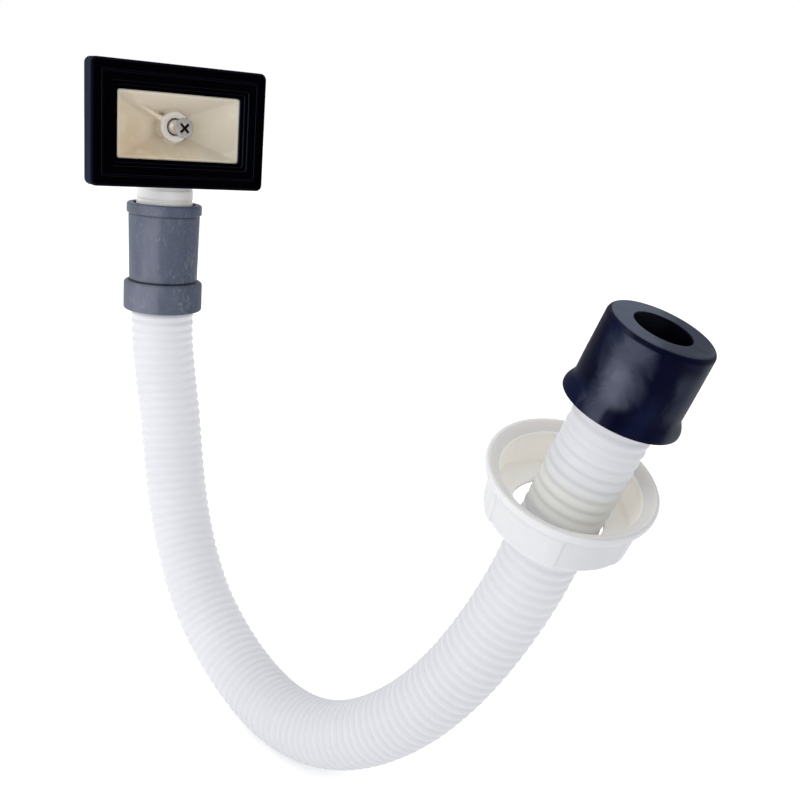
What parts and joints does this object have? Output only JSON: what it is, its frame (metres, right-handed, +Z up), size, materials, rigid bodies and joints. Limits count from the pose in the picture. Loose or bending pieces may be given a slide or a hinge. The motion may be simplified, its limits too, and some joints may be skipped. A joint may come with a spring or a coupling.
{
  "type": "sink overflow hose",
  "caption": "Kitchen sink overflow set: rectangular inlet head with rubber face seal, turning sleeve, ribbed stay-put hose, loose union nut and rubber outlet cone.",
  "frame": {"origin": "centre of the face seal's contact plane, where it meets the sink wall", "axes": "+Y runs back from the sink wall into the head, +Z runs up along the neck, +X to the right seen from inside the sink"},
  "size_m": [0.1199, 0.2613, 0.2746],
  "materials": {
    "seal_rubber": "matte moulded rubber",
    "head_plastic": "satin moulded plastic",
    "insert_brass": "plain",
    "screw_steel": "satin stainless",
    "sleeve_rubber": "dusty grey rubber",
    "hose_plastic": "matte ribbed plastic",
    "nut_plastic": "satin moulded plastic",
    "cone_rubber": "dusty black rubber"
  },
  "bodies": {
    "head": {"face_seal": "seal_rubber", "overflow_body": "head_plastic", "boss_insert": "insert_brass"},
    "screw": {"cover_screw": "screw_steel"},
    "hose_top": {"rubber_sleeve": "sleeve_rubber", "hose_top_cuff": "hose_plastic", "hose_upper": "hose_plastic", "hose_bend": "hose_plastic"},
    "hose_end": {"hose_lower": "hose_plastic", "hose_end_cuff": "hose_plastic", "outlet_cone": "cone_rubber"},
    "nut": {"union_nut": "nut_plastic"}
  },
  "joints": [
    {"name": "screw_turn", "type": "hinge", "parent": "head", "child": "screw", "pos_m": [0, 0.0076, 0], "axis": [0, 1, 0], "continuous": true},
    {"name": "sleeve_swivel", "type": "hinge", "parent": "head", "child": "hose_top", "pos_m": [0, 0.0175, -0.045], "axis": [0, 0, 1], "continuous": true},
    {"name": "hose_flex", "type": "hinge", "parent": "hose_top", "child": "hose_end", "pos_m": [0.0184, -0.082, -0.2365], "axis": [0.9642, 0.216, -0.154], "range_deg": [-20, 30], "deforming": ["hose_bend"]},
    {"name": "nut_slide", "type": "slide", "parent": "hose_end", "child": "nut", "axis": [0.0819, -0.342, 0.9361], "range_m": [0, 0.02]}
  ]
}
